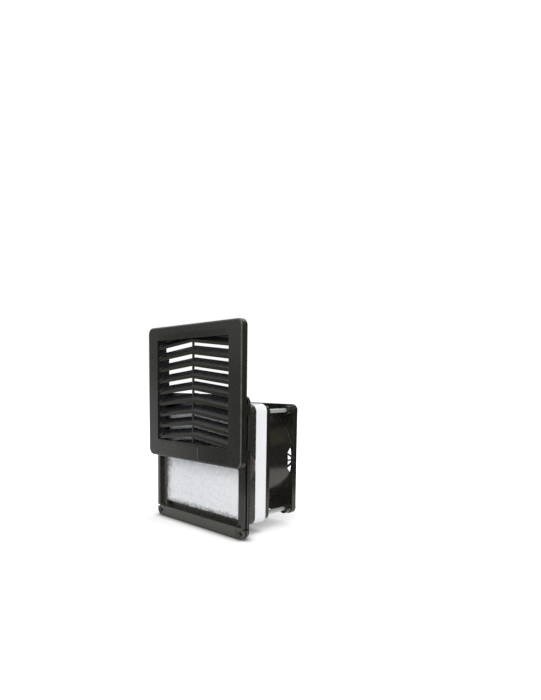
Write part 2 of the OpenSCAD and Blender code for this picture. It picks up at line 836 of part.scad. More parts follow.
// Open ring that snaps into the shaft's groove
module retaining_ring() {
    ring_y = rear_bearing_y + bearing_w + 0.6 + run_clear;
    color("#3f4246") difference() {
        tube(shaft_r * 1.7, shaft_r * 0.8 + run_clear, ring_y, ring_y + ring_t);
        span([0, ring_y - 1, -shaft_r * 0.6], [shaft_r * 2, ring_y + ring_t + 1, shaft_r * 0.6]);
    }
}

// Copies of a bearing piece at both bearings
module at_bearings() {
    for (y = [front_bearing_y, rear_bearing_y]) translate([0, y, 0]) children();
}

// Ball track around a bearing's middle
module ball_track() {
    translate([0, bearing_w / 2, 0]) rotate([90, 0, 0]) rotate_extrude()
        translate([ball_orbit_r, 0]) circle(ball_r + run_clear, $fn = 32);
}

module bearing_inner_rings() {
    color("#c3c6c9") at_bearings() difference() {
        tube(shaft_r + race_wall, shaft_r + run_clear, 0, bearing_w);
        ball_track();
    }
}

module bearing_outer_rings() {
    color("#c3c6c9") at_bearings() difference() {
        tube(bearing_r, bearing_r - race_wall, 0, bearing_w);
        ball_track();
    }
}

module bearing_balls() {
    color("#dfe2e5") at_bearings()
        for (i = [0:ball_n - 1]) rotate([0, 360 * i / ball_n, 0])
            translate([ball_orbit_r, bearing_w / 2, 0]) sphere(ball_r, $fn = 32);
}

// Spring washer that loads the rear bearing
module preload_washer() {
    color("#9a9da1")
        tube(bearing_r - 0.2, bearing_r - race_wall, rear_bearing_y + bearing_w, motor_plate_front);
}

// Laminated stator with four poles on the bearing tube
module stator_core() {
    shoe_h = pole_w + 2 * coil_t;
    color("#6b6e70") difference() {
        union() {
            rod(stator_hub_r, stator_front, stator_rear);
            intersection() {
                rod(stator_r, stator_front, stator_rear);
                for (turn = [0:3]) rotate([0, 90 * turn, 0]) {
                    span([0, stator_front, -pole_w / 2], [stator_r, stator_rear, pole_w / 2]);
                    span([stator_r - 2.5, stator_front, -shoe_h / 2], [stator_r, stator_rear, shoe_h / 2]);
                }
            }
        }
        rod(tube_r + run_clear, stator_front - 1, stator_rear + 1);
    }
}

// Copper windings around the four poles
module stator_coils() {
    inner = stator_hub_r + 0.3;
    outer = stator_r - 2.5 - 0.3;
    high = pole_w / 2 + coil_t - 0.3;
    color("#b46a35") for (turn = [0:3]) rotate([0, 90 * turn, 0]) difference() {
        span([inner, stator_front - coil_t, -high], [outer, stator_rear + coil_t, high]);
        span([inner - 1, stator_front - run_clear, -pole_w / 2 - run_clear],
             [outer + 1, stator_rear + run_clear, pole_w / 2 + run_clear]);
    }
}

// Insulating block behind the lower left corner of the barrel
module terminal_block() {
    color("#202020") difference() {
        span([-block_x - block_w / 2, rear_flange_front - block_d, -terminal_z - block_h / 2],
             [-block_x + block_w / 2, rear_flange_front, -terminal_z + block_h / 2]);
        terminal_shapes(run_clear);
    }
}

// Two flat blades through the block, grown by the given clearance
module terminal_shapes(grow) {
    for (s = [-1, 1])
        translate([-block_x, rear_flange_front - block_d / 2 + s * terminal_pitch / 2, 0])
            span([-blade_w / 2 - grow, -terminal_t / 2 - grow, -fan_w / 2 - grow],
                 [blade_w / 2 + grow, terminal_t / 2 + grow, block_h / 2 - 0.5 - terminal_z + grow]);
}

module terminal_blades() {
    color("#c9b27a") terminal_shapes(0);
}

// Four long screws from the fan's rear into the body's bosses
module fan_screws() {
    color("#c4c7b8") at_corners(hole_pitch) difference() {
        union() {
            rod(screw_r, screw_front, fan_rear + washer_t + eps);
            rod(screw_head_r, fan_rear + washer_t, fan_rear + washer_t + screw_head_h);
        }
        for (turn = [0, 90]) rotate([0, turn, 0])
            span([-screw_head_r * 0.6, fan_rear + washer_t + screw_head_h * 0.45, -0.45],
                 [screw_head_r * 0.6, fan_rear + washer_t + screw_head_h + 1, 0.45]);
    }
}

module screw_washers() {
    color("#b5b8ba") at_corners(hole_pitch)
        tube(washer_r, screw_r + screw_clear, fan_rear, fan_rear + washer_t);
}

front_grille();
base_frame();
panel_gasket();
filter_mat();
filter_grid();
left_clip();
right_clip();
spacer_frame();
fan_frame();
motor_bracket();
motor_cap();
impeller();
rotor_cup();
rotor_ring();
shaft();
retaining_ring();
bearing_inner_rings();
bearing_outer_rings();
bearing_balls();
preload_washer();
stator_core();
stator_coils();
terminal_block();
terminal_blades();
fan_screws();
screw_washers();
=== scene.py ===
import json
import math
import random

import bmesh
import bpy
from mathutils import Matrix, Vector, noise


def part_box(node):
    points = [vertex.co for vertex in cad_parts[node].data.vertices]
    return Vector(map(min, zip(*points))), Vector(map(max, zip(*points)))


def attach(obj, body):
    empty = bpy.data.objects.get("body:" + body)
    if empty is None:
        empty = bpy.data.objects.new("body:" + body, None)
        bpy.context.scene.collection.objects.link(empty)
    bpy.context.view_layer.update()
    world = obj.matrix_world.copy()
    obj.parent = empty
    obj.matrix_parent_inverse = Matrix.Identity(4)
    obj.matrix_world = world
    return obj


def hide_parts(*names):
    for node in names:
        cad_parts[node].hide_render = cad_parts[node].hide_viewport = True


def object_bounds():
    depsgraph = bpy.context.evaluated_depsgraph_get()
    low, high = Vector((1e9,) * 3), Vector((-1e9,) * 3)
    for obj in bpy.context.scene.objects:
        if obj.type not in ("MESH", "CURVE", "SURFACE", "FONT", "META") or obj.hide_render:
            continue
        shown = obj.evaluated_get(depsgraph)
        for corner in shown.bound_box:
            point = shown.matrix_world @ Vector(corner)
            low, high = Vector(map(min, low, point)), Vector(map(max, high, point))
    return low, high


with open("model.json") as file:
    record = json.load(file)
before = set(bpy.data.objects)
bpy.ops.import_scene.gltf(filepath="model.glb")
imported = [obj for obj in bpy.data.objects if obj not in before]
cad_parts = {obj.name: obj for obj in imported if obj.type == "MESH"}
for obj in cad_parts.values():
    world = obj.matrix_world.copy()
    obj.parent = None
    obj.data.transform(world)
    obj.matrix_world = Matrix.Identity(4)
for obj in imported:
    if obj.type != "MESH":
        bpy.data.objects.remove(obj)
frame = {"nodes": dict(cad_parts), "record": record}  # metres; the cover faces -Y and +Z is up
NODES = frame["nodes"]
CAD_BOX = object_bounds()
MM = 0.001

# Camera, fitted to the photograph's edges, with angles in degrees and its near limit in metres
IMAGE_SIZE = (541, 700)
FOCAL_PX = 547.0
CENTRE_PX = (191.5, 438.1)
CAMERA_AT = Vector((340.7, -291.3, 67.5)) * MM
CAMERA_YAW = -50.70
CAMERA_PITCH = -6.25
SENSOR_MM = 36.0
CAMERA_NEAR = 0.01

# Studio light: ambient level and tint for the object, and lamps as place, size in metres, watts and tint
AMBIENT = 0.30
AMBIENT_TINT = (0.95, 0.98, 1.04)
LAMPS = {
    "front": ((0.72, -0.82, 0.75), (1.1, 1.1), 11.2, (1.0, 0.98, 0.95)),
    "key": ((-0.85, -0.75, 0.95), (1.0, 1.0), 2.5, (1.0, 0.97, 0.92)),
    "fill": ((1.1, 0.1, 0.7), (0.8, 0.8), 2.2, (1.0, 1.0, 1.0)),
    "top": ((0.1, 0.25, 1.3), (1.2, 1.2), 5.5, (1.0, 1.0, 1.0)),
    "back": ((-0.2, 1.05, 0.9), (1.0, 1.0), 3.5, (1.0, 1.0, 1.0)),
}
LAMP_TARGET = Vector((0.0, 0.02, 0.02))

# Floor, with its side in metres
FLOOR_SIZE = 8.0
FLOOR_COLOUR = (0.92, 0.92, 0.92)
FLOOR_ROUGHNESS = 0.9

# Glow of the floor beside the part and far from it, with the two distances in metres
GLOW_NEAR = 0.28
GLOW_FAR = 0.75
GLOW_REACH = (0.10, 0.45)

# Narrow contact shadow on the floor: reach in metres, darkest share, share of open sky that is darkest
CONTACT_REACH = 0.009
CONTACT_DARK = 0.3
CONTACT_CLOSED = 0.5
CONTACT_SAMPLES = 16

# Studio flags that only reflections show: middle, turn in degrees, width, height and brightness
FLAGS = {
    "right_flag": ((0.155, 0.145, 0.095), 44.0, 0.5, 0.3, 0.015),
    "warm_flag": ((0.150, 0.140, 0.125), 44.0, 0.3, 0.13, 0.28),
    "front_flag": ((-0.015, -0.12, 0.014), 0.0, 0.23, 0.148, 0.5),
    "corner_flag": ((-0.18, -0.121, 0.12), 0.0, 0.16, 0.12, 0.57),
    "back_flag": ((-0.40, 0.25, 0.15), -45.0, 0.8, 0.5, 0.015),
}
FLAG_TINTS = {"warm_flag": (1.0, 0.88, 0.55, 1.0)}
PLAIN_TINT = (1.0, 0.97, 0.95, 1.0)
FLAG_ROUGHNESS = 0.5

# Rounding of the moulded and cast edges, in millimetres
EDGE_ROUNDING = {
    "front_grille": 0.25,
    "base_frame": 0.25,
    "spacer_frame": 0.35,
    "motor_bracket": 0.3,
    "left_clip": 0.2,
    "right_clip": 0.2,
    "filter_grid": 0.2,
    "terminal_block": 0.2,
    "screw_washers": 0.1,
    "fan_screws": 0.12,
}
ROUNDING_STEPS = 2
SHARP_ANGLE = 35
WELD_REACH = 0.002

# Where shading finds an edge: rounded against plain normal where it begins and where it is full
EDGE_TURN = (0.98, 0.8)
BEVEL_SAMPLES = 6

# Share of a face that looks to the front or rear, where a rim with its painted highlight begins, is full,
# fades and ends
RIM_FACING = (0.3, 0.5, 0.85, 0.96)

# Moulded plastics: dark and pale colour, colour of worn edges and of the painted highlight on the rims,
# roughness and specular level
MOULDED = {
    "cover_plastic": ((0.010, 0.0102, 0.0084), (0.0145, 0.0147, 0.0122), (0.08, 0.081, 0.075), 0.30, 0.28),
    "frame_plastic": ((0.022, 0.022, 0.017), (0.031, 0.030, 0.024), (0.11, 0.11, 0.095), 0.28, 0.45),
    "clip_plastic": ((0.034, 0.029, 0.025), (0.046, 0.040, 0.034), (0.15, 0.13, 0.11), 0.32, 0.25),
    "impeller_plastic": ((0.012, 0.012, 0.012), (0.020, 0.020, 0.020), (0.07, 0.07, 0.07), 0.30, 0.45),
}
GLOSS_SPREAD = 0.05

# Areas of another colour and texture: box in millimetres, colour and its share, and a factor of roughness;
# the plain field is a tone of its own, the others paint shade, light and a highlight
# Painted shade: the right rail only, darkened towards black, for the shade in its recess.
RIGHT_RAIL_SHADE = ((45.6, -6.6, -45.9), (55.2, -3.2, 60.0), (0.0, 0.0, 0.0), 0.75, 0.6)
# Painted light: a paler olive grey on the sill, for the light it catches.
SILL_LIGHT = ((-55.2, -6.8, -56.0), (55.2, -2.1, -46.0), (0.07, 0.069, 0.058), 0.4, 1.2)
PLAIN_FIELD = ((9.5, -14.0, 3.0), (44.5, -13.2, 12.4), (0.0, 0.002, 0.004), 0.3, 0.8)
# Painted highlight: a pale line along the plain field's left edge, where its small step catches light.
FIELD_EDGE_HIGHLIGHT = ((8.7, -14.0, 3.0), (9.6, -13.2, 12.4), (0.085, 0.092, 0.092), 0.8, 1.0)
TONE_AND_PAINTED_LIGHT_AREAS = {"cover_plastic": (PLAIN_FIELD, FIELD_EDGE_HIGHLIGHT), "frame_plastic": (RIGHT_RAIL_SHADE, SILL_LIGHT)}
AREA_EDGE = 0.1

# Louvres: their plastic, box and depths in millimetres, and colours at the front and at the rear, which
# paint the light and shade across the blades
LOUVRED = "cover_plastic"
LOUVRES = ((-42.0, -20.0, 12.5), (42.0, 0.0, 104.0))
LOUVRE_DEPTHS = (-12.2, -10.5)
LOUVRE_LIGHT_AND_SHADE_TINTS = ((0.0038, 0.0045, 0.0004), (0.0110, 0.0122, 0.0140))

# Noise of the fleece: layers, each half the size of the last, and the step between their slices
NOISE_LAYERS = 3
NOISE_STEP = 7.3

# Fleece mat, in millimetres: mesh, lumps, crown, ragged outline and the strips that the cover presses
FLEECE_STEP = 0.6
FLEECE_CLUMP = 3.2
FLEECE_LOFT = 0.55
FLEECE_SLICE = 1.7
FLEECE_BULGE = 0.9
FLEECE_SUNK = 0.6
FLEECE_SHOULDER = 4.0
RAGGED_DEPTH = 0.9
RAGGED_CLUMP = 2.5
RAGGED_SLICE = 9.1
RAGGED_POWER = 9
PRESSED_STRIP = 7.0
PRESSED_PROUD = 0.12

# Painted shade along the mat's left and lower edges: start and end from its left and lower edge, slant of
# the left one, and colour
FRINGE_SHADE_REACHES = ((-2.0, 8.0), (0.0, 5.5))
FRINGE_SHADE_SLANT = (42.0, 4.0)
FRINGE_SHADE_COLOUR = (0.02, 0.02, 0.02)

# Loose fibres, in millimetres, with the share of the mat they start on and the most they curl per step
FIBRE_SEED = 11
FIBRE_COUNT = 2200
FIBRE_RADIUS = 0.035
FIBRE_SIDES = 3
FIBRE_LENGTH = (1.5, 4.5)
FIBRE_POINTS = 5
FIBRE_FIELD = 0.98
FIBRE_CURL = 0.9
FIBRE_LIFT = 0.25
FIBRE_LIFT_SPREAD = (0.2, 1.6)
FIBRE_MARGIN = 0.3


class Wiring:
    """Short calls that add shader nodes to a tree."""

    def __init__(self, tree):
        self.nodes = tree.nodes
        self.links = tree.links

    def feed(self, node, inputs):
        """Links a node's inputs, by index or name, to sockets or sets them to values."""
        for key, value in inputs.items():
            if isinstance(value, bpy.types.NodeSocket):
                self.links.new(value, node.inputs[key])
            else:
                node.inputs[key].default_value = value

    def put(self, kind, inputs, **settings):
        """A new node with its settings and inputs."""
        node = self.nodes.new("ShaderNode" + kind)
        for name, value in settings.items():
            setattr(node, name, value)
        self.feed(node, inputs)
        return node

    def sums(self, operation, a, b=0.0):
        return self.put("Math", {0: a, 1: b}, operation=operation).outputs[0]

    def span(self, value, low, high, to_low, to_high):
        """The value carried from one range to another and held inside it."""
        inputs = {0: value, 1: low, 2: high, 3: to_low, 4: to_high}
        return self.put("MapRange", inputs).outputs[0]

    def mix(self, amount, first, second):
        """The first colour, carried to the second by an amount from 0 to 1."""
        inputs = {0: amount}
        for key, colour in ((6, first), (7, second)):
            inputs[key] = colour if isinstance(colour, bpy.types.NodeSocket) else (*colour, 1.0)
        return self.put("Mix", inputs, data_type="RGBA").outputs[2]

    def seen(self):
        """1 for camera, glossy and transmission rays, 0 for the rays that light the object."""
        path = self.put("LightPath", {})
        value = path.outputs["Is Camera Ray"]
        for name in ("Is Glossy Ray", "Is Transmission Ray"):
            value = self.sums("MAXIMUM", value, path.outputs[name])
        return value


class Finish(Wiring):
    """A Principled material with textures whose sizes are in millimetres."""

    def __init__(self, name, metallic=0.0, specular=0.5):
        self.material = bpy.data.materials.new(name)
        self.material.use_nodes = True
        super().__init__(self.material.node_tree)
        self.shader = self.nodes["Principled BSDF"]
        self.feed(self.shader, {"Metallic": metallic, "Specular IOR Level": specular})
        self.place = self.put("TexCoord", {}).outputs["Object"]
        self.relief = None

    def grain(self, size, detail=3.0, stretch=(1.0, 1.0, 1.0)):
        """Noise from 0 to 1 with blotches of about that size, longer where stretch is over 1."""
        scale = tuple(1.0 / (size * MM * s) for s in stretch)
        place = self.put("Mapping", {"Vector": self.place, "Scale": scale}).outputs[0]
        return self.put("TexNoise", {"Vector": place, "Scale": 1.0, "Detail": detail}).outputs[0]

    def cells(self, size):
        """Distance to the nearest of scattered points about that far apart."""
        return self.put("TexVoronoi", {"Vector": self.place, "Scale": 1.0 / (size * MM)}).outputs[0]

    def axis(self, name):
        return self.put("SeparateXYZ", {0: self.place}).outputs[name]

    def radius(self):
        """Distance from the fan's axis."""
        flat = self.put("VectorMath", {0: self.place, 1: (1.0, 0.0, 1.0)}, operation="MULTIPLY").outputs[0]
        return self.put("VectorMath", {0: flat}, operation="LENGTH").outputs["Value"]

    def inside(self, low, high):
        """1 inside the box between two corners."""
        share = 1.0
        for name, start, end in zip("XYZ", low, high):
            offset = self.sums("ABSOLUTE", self.sums("SUBTRACT", self.axis(name), (start + end) / 2 * MM))
            half = (end - start) / 2 * MM
            share = self.sums("MULTIPLY", self.span(offset, half, half - AREA_EDGE * MM, 0.0, 1.0), share)
        return share

    def rims(self):
        """1 on the rounded rims between the front and the sides, away from the louvres, where the moulded
        finish paints a highlight.
        """
        begin, full, fade, end = RIM_FACING
        normal = self.put("TexCoord", {}).outputs["Normal"]
        facing = self.sums("ABSOLUTE", self.put("SeparateXYZ", {0: normal}).outputs["Y"])
        rising = self.span(facing, begin, full, 0.0, 1.0)
        rim = self.sums("MULTIPLY", self.span(facing, end, fade, 0.0, 1.0), rising)
        return self.sums("MULTIPLY", rim, self.sums("SUBTRACT", 1.0, self.inside(*LOUVRES)))

    def bands(self, along, pitch):
        """A wave from 0 to 1 that repeats at the pitch along a length."""
        turn = self.sums("MULTIPLY", along, 2.0 * math.pi / (pitch * MM))
        return self.span(self.sums("SINE", turn), -1.0, 1.0, 0.0, 1.0)

    def rounded(self, width):
        """The normal as if sharp edges were rounded by that width."""
        return self.put("Bevel", {"Radius": width * MM}, samples=BEVEL_SAMPLES).outputs[0]

    def edges(self, width):
        """1 on sharp edges, falling to 0 within that width."""
        plain = self.put("NewGeometry", {}).outputs["Normal"]
        normals = {0: self.rounded(width), 1: plain}
        same = self.put("VectorMath", normals, operation="DOT_PRODUCT").outputs["Value"]
        return self.span(same, *EDGE_TURN, 0.0, 1.0)

    def round_edges(self, width):
        """Shades sharp edges as if they were rounded; called before any relief is added."""
        self.relief = self.rounded(width)

    def raise_by(self, height, depth):
        """Adds relief of that depth to the surface."""
        inputs = {"Height": height, "Distance": depth * MM, "Strength": 1.0}
        if self.relief is not None:
            inputs["Normal"] = self.relief
        self.relief = self.put("Bump", inputs).outputs[0]

    def finish(self, colour, roughness):
        """The material with its colour, roughness and relief in place."""
        self.feed(self.shader, {"Base Color": colour, "Roughness": roughness})
        if self.relief is not None:
            self.feed(self.shader, {"Normal": self.relief})
        return self.material


def louvre_light_and_shade(f, colour):
    """Painted light and shade on the louvres: olive black on their front edges and paler towards the rear.
    """
    depth = f.span(f.axis("Y"), LOUVRE_DEPTHS[0] * MM, LOUVRE_DEPTHS[1] * MM, 0.0, 1.0)
    return f.mix(f.inside(*LOUVRES), colour, f.mix(depth, *LOUVRE_LIGHT_AND_SHADE_TINTS))


def moulded(slot, dark, pale, worn, roughness, specular):
    """Moulded plastic with a spark-eroded grain, uneven gloss, worn edges, a painted highlight on the rims,
    painted light and shade on the louvres, and areas of their own tone and of painted light and shade.
    """
    f = Finish(slot, specular=specular)
    colour = f.mix(f.grain(16.0, 2.0), dark, pale)
    # The louvres get painted tones of light and shade, set by depth.
    if slot == LOUVRED:
        colour = louvre_light_and_shade(f, colour)
    uneven = f.span(f.grain(4.0, 4.0), 0.35, 0.65, roughness - GLOSS_SPREAD, roughness + GLOSS_SPREAD)
    # Each area's colour: the plain field's own tone, and painted shade, light and highlight in the others.
    for low, high, area_tone_and_painted_light, share, rougher in TONE_AND_PAINTED_LIGHT_AREAS.get(slot, ()):
        within = f.inside(low, high)
        colour = f.mix(f.sums("MULTIPLY", within, share), colour, area_tone_and_painted_light)
        uneven = f.sums("MULTIPLY", uneven, f.span(within, 0.0, 1.0, 1.0, rougher))
    scuffed = f.sums("MULTIPLY", f.edges(0.45), f.span(f.grain(2.2, 4.0), 0.42, 0.62, 0.15, 0.8))
    # Painted highlight: the rounded rims take the worn-edge colour, standing in for the light they catch.
    rim_highlight = f.sums("MULTIPLY", f.rims(), f.span(f.grain(6.0, 4.0), 0.3, 0.7, 0.4, 1.0))
    # The worn colour serves both the real worn edges and the painted rim highlight.
    colour = f.mix(f.sums("MAXIMUM", scuffed, rim_highlight), colour, worn)
    f.raise_by(f.grain(0.3, 2.0), 0.003)
    f.raise_by(f.grain(14.0, 0.0), 0.02)
    return f.finish(colour, uneven)


def spacer_finish():
    """Satin white plastic with a bluish cast, faint grain and slightly grey edges."""
    f = Finish("spacer_plastic", specular=0.4)
    colour = f.mix(f.grain(18.0, 2.0), (0.86, 0.88, 0.91), (0.90, 0.91, 0.92))
    colour = f.mix(f.span(f.grain(0.9, 3.0), 0.66, 0.74, 0.0, 0.35), colour, (0.74, 0.76, 0.78))
    colour = f.mix(f.sums("MULTIPLY", f.edges(0.4), 0.35), colour, (0.55, 0.57, 0.6))
    f.raise_by(f.grain(0.35, 2.0), 0.01)
    return f.finish(colour, f.span(f.grain(5.0), 0.35, 0.65, 0.34, 0.46))


def paint_finish():
    """Glossy black paint on cast metal, with orange peel and thin worn edges."""
    f = Finish("fan_paint", specular=0.5)
    f.feed(f.shader, {"Specular Tint": (1.0, 0.93, 0.80, 1.0)})
    colour = f.mix(f.grain(22.0, 2.0), (0.010, 0.0098, 0.0086), (0.018, 0.0172, 0.0148))
    worn = f.sums("MULTIPLY", f.edges(0.35), f.span(f.grain(1.8, 4.0), 0.48, 0.66, 0.0, 0.7))
    colour = f.mix(worn, colour, (0.16, 0.15, 0.14))
    f.round_edges(0.3)
    f.raise_by(f.grain(1.6, 1.0), 0.006)
    f.raise_by(f.grain(9.0, 2.0), 0.03)
    return f.finish(colour, f.span(f.grain(3.0, 4.0), 0.35, 0.7, 0.16, 0.3))


def foam_finish():
    """Closed-cell foam rubber."""
    f = Finish("gasket_foam", specular=0.2)
    cells = f.cells(0.45)
    colour = f.mix(f.span(cells, 0.0, 0.6, 0.0, 1.0), (0.03, 0.03, 0.03), (0.012, 0.012, 0.012))
    f.raise_by(cells, 0.12)
    return f.finish(colour, f.span(f.grain(2.0), 0.3, 0.7, 0.85, 0.98))


def fringe_shade_share(f):
    """1 where shade is painted on the mat towards its left and lower edges, broken up by clumps and strands.
    """
    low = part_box("filter_mat")[0]
    slant = f.span(f.axis("Z"), low.z, low.z + FRINGE_SHADE_SLANT[0] * MM, 0.0, FRINGE_SHADE_SLANT[1] * MM)
    from_left = f.sums("SUBTRACT", f.sums("SUBTRACT", f.axis("X"), low.x), slant)
    from_bottom = f.sums("SUBTRACT", f.axis("Z"), low.z)
    squares = []
    for away, (start, end) in zip((from_left, from_bottom), FRINGE_SHADE_REACHES):
        inward = f.span(away, start * MM, end * MM, 1.0, 0.0)
        squares.append(f.sums("POWER", inward, 2.0))
    depth = f.sums("SQRT", f.sums("ADD", *squares))
    clumps = f.span(f.grain(3.5, 5.0), 0.25, 0.75, -0.35, 0.35)
    strands = f.span(f.grain(0.6, 4.0, (1.0, 1.0, 3.0)), 0.3, 0.7, -0.12, 0.12)
    return f.span(f.sums("ADD", depth, f.sums("ADD", clumps, strands)), 0.2, 1.1, 0.0, 0.95)


def fleece_finish():
    """Loose white fibres with bluish and lilac tints, small patches of painted grey shade, and painted shade
    along the left and lower edges.
    """
    f = Finish("filter_fleece", specular=0.1)
    f.feed(f.shader, {"Sheen Weight": 0.3, "Sheen Roughness": 0.6})
    tint = f.mix(f.grain(9.0, 3.0), (0.78, 0.84, 0.86), (0.87, 0.85, 0.89))
    # Painted shade: small grey patches placed at random, for the dips between the fibres.
    hollow_shade = f.span(f.grain(1.6, 5.0), 0.30, 0.50, 0.35, 0.0)
    colour = f.mix(hollow_shade, tint, (0.52, 0.55, 0.58))
    # Painted shade along the mat's left and lower edges.
    colour = f.mix(fringe_shade_share(f), colour, FRINGE_SHADE_COLOUR)
    f.raise_by(f.grain(0.5, 4.0, (3.0, 1.0, 1.0)), 0.12)
    f.raise_by(f.grain(0.4, 4.0, (1.0, 1.0, 3.0)), 0.12)
    return f.finish(colour, f.span(f.grain(1.0), 0.3, 0.7, 0.9, 1.0))


def cap_finish():
    """Turned aluminium with fine rings around the fan's axis."""
    f = Finish("cap_metal", metallic=1.0)
    rings = f.bands(f.radius(), 0.35)
    colour = f.mix(f.grain(6.0, 3.0), (0.50, 0.51, 0.52), (0.60, 0.61, 0.62))
    f.raise_by(rings, 0.006)
    return f.finish(colour, f.span(f.grain(1.4, 4.0), 0.3, 0.7, 0.28, 0.42))


def drawn_finish(slot, dark, pale, lowest, highest):
    """Drawn metal with fine streaks along the fan's axis and darker spots."""
    f = Finish(slot, metallic=1.0)
    streaks = f.grain(0.4, 3.0, (1.0, 14.0, 1.0))
    colour = f.mix(f.grain(3.0, 4.0), dark, pale)
    f.raise_by(streaks, 0.008)
    return f.finish(colour, f.span(streaks, 0.3, 0.7, lowest, highest))


def lamination_finish():
    """Stacked sheets with dark joints between them."""
    f = Finish("lamination_steel", metallic=1.0)
    sheets = f.bands(f.axis("Y"), 0.5)
    colour = f.mix(sheets, (0.07, 0.07, 0.08), (0.27, 0.28, 0.29))
    f.raise_by(sheets, 0.06)
    return f.finish(colour, f.span(f.grain(0.8, 4.0), 0.3, 0.7, 0.35, 0.55))


def winding_finish():
    """Enamelled copper wire wound turn by turn."""
    f = Finish("winding_copper", metallic=1.0)
    turns = f.bands(f.radius(), 0.42)
    colour = f.mix(turns, (0.30, 0.10, 0.04), (0.70, 0.33, 0.16))
    f.raise_by(turns, 0.15)
    return f.finish(colour, f.span(f.grain(0.9, 3.0), 0.3, 0.7, 0.25, 0.4))


def zinc_finish():
    """Bright zinc with a pale green and violet passivation."""
    f = Finish("zinc_steel", metallic=0.4)
    cloud = f.span(f.grain(2.4, 3.0), 0.35, 0.65, 0.0, 1.0)
    colour = f.mix(cloud, (0.48, 0.52, 0.46), (0.46, 0.48, 0.49))
    colour = f.mix(f.span(f.grain(0.6, 4.0), 0.6, 0.75, 0.0, 0.5), colour, (0.38, 0.38, 0.33))
    f.raise_by(f.grain(0.5, 3.0, (1.0, 8.0, 1.0)), 0.01)
    return f.finish(colour, f.span(f.grain(1.2, 3.0), 0.3, 0.7, 0.24, 0.42))


FINISHES = {slot: moulded(slot, *look) for slot, look in MOULDED.items()}
FINISHES.update({
    "spacer_plastic": spacer_finish(),
    "fan_paint": paint_finish(),
    "gasket_foam": foam_finish(),
    "filter_fleece": fleece_finish(),
    "cap_metal": cap_finish(),
    "rotor_steel": drawn_finish("rotor_steel", (0.24, 0.25, 0.26), (0.36, 0.37, 0.38), 0.3, 0.5),
    "bright_steel": drawn_finish("bright_steel", (0.56, 0.57, 0.59), (0.68, 0.69, 0.71), 0.15, 0.3),
    "lamination_steel": lamination_finish(),
    "winding_copper": winding_finish(),
    "terminal_brass": drawn_finish("terminal_brass", (0.58, 0.50, 0.30), (0.76, 0.68, 0.46), 0.22, 0.4),
    "zinc_steel": zinc_finish(),
})


def add_rounding(node, width):
    """Rounds a CAD node's edges with modifiers, which leave its mesh as it is."""
    weld = node.modifiers.new("weld", "WELD")
    weld.merge_threshold = WELD_REACH * MM
    bevel = node.modifiers.new("rounding", "BEVEL")
    bevel.width = width * MM
    bevel.segments = ROUNDING_STEPS
    bevel.limit_method = "ANGLE"
    bevel.angle_limit = math.radians(SHARP_ANGLE)
    bevel.use_clamp_overlap = True
    bevel.face_strength_mode = "FSTR_ALL"
    shading = node.modifiers.new("shading", "WEIGHTED_NORMAL")
    shading.use_face_influence = True


def dress_nodes():
    """Gives every CAD node its finish and rounds the edges of the moulded and cast ones."""
    for part in frame["record"]["subparts"]:
        node = NODES[part["node"]]
        node.material_slots[0].material = FINISHES[part["material_slot"]]
        if part["node"] in EDGE_ROUNDING:
            add_rounding(node, EDGE_ROUNDING[part["node"]])


def place_object(name, data):
    """A new object in the scene."""
    made = bpy.data.objects.new(name, data)
    bpy.context.scene.collection.objects.link(made)
    return made


def mesh_object(name, mesh, material):
    """A new object in the scene from a bmesh that is done."""
    data = bpy.data.meshes.new(name)
    mesh.to_mesh(data)
    mesh.free()
    data.materials.append(material)
    return place_object(name, data)


def square(name, side, material):
    """A flat square in the scene."""
    mesh = bmesh.new()
    bmesh.ops.create_grid(mesh, x_segments=1, y_segments=1, size=side / 2)
    return mesh_object(name, mesh, material)


def layered_noise(x, z, size, slice_at):
    """Smooth noise from about -1 to 1 with finer layers."""
    total = 0.0
    for layer in range(NOISE_LAYERS):
        step = size / 2 ** layer
        total += noise.noise(Vector((x / step, z / step, slice_at + NOISE_STEP * layer))) / 2 ** layer
    return total


class Fleece:
    """The mat's front surface, in millimetres, over the CAD mat's own box."""

    def __init__(self):
        low, high = (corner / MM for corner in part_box("filter_mat"))
        self.centre = (low + high) / 2
        self.half = (high - low) / 2
        self.front = low.y
        self.back = high.y

    def edge_distance(self, x, z):
        return min(self.half.x - abs(x - self.centre.x), self.half.z - abs(z - self.centre.z))

    def pressed(self, x, height):
        """The height, held down in the strips at both sides that the cover's bars press on."""
        at_side = self.half.x - abs(x - self.centre.x) < PRESSED_STRIP
        return min(height, PRESSED_PROUD) if at_side else height

    def proud(self, x, z):
        """How far the surface stands in front of the CAD mat."""
        inward = max(0.0, self.edge_distance(x, z))
        shoulder = min(1.0, inward / FLEECE_SHOULDER)
        crown = FLEECE_BULGE * math.sin(shoulder * math.pi / 2) - FLEECE_BULGE * FLEECE_SUNK
        lumps = FLEECE_LOFT * layered_noise(x, z, FLEECE_CLUMP, FLEECE_SLICE)
        return self.pressed(x, crown + lumps * (0.5 + 0.5 * shoulder))

    def point(self, across, up):
        """A point of the front surface, from two shares between -1 and 1, with a ragged outline."""
        x = self.centre.x + across * self.half.x
        z = self.centre.z + up * self.half.z
        pull = RAGGED_DEPTH * (0.5 + 0.5 * layered_noise(x, z, RAGGED_CLUMP, RAGGED_SLICE))
        x -= across ** RAGGED_POWER * max(0.0, pull)
        z -= up ** RAGGED_POWER * max(0.0, pull)
        return Vector((x, self.front - self.proud(x, z), z))


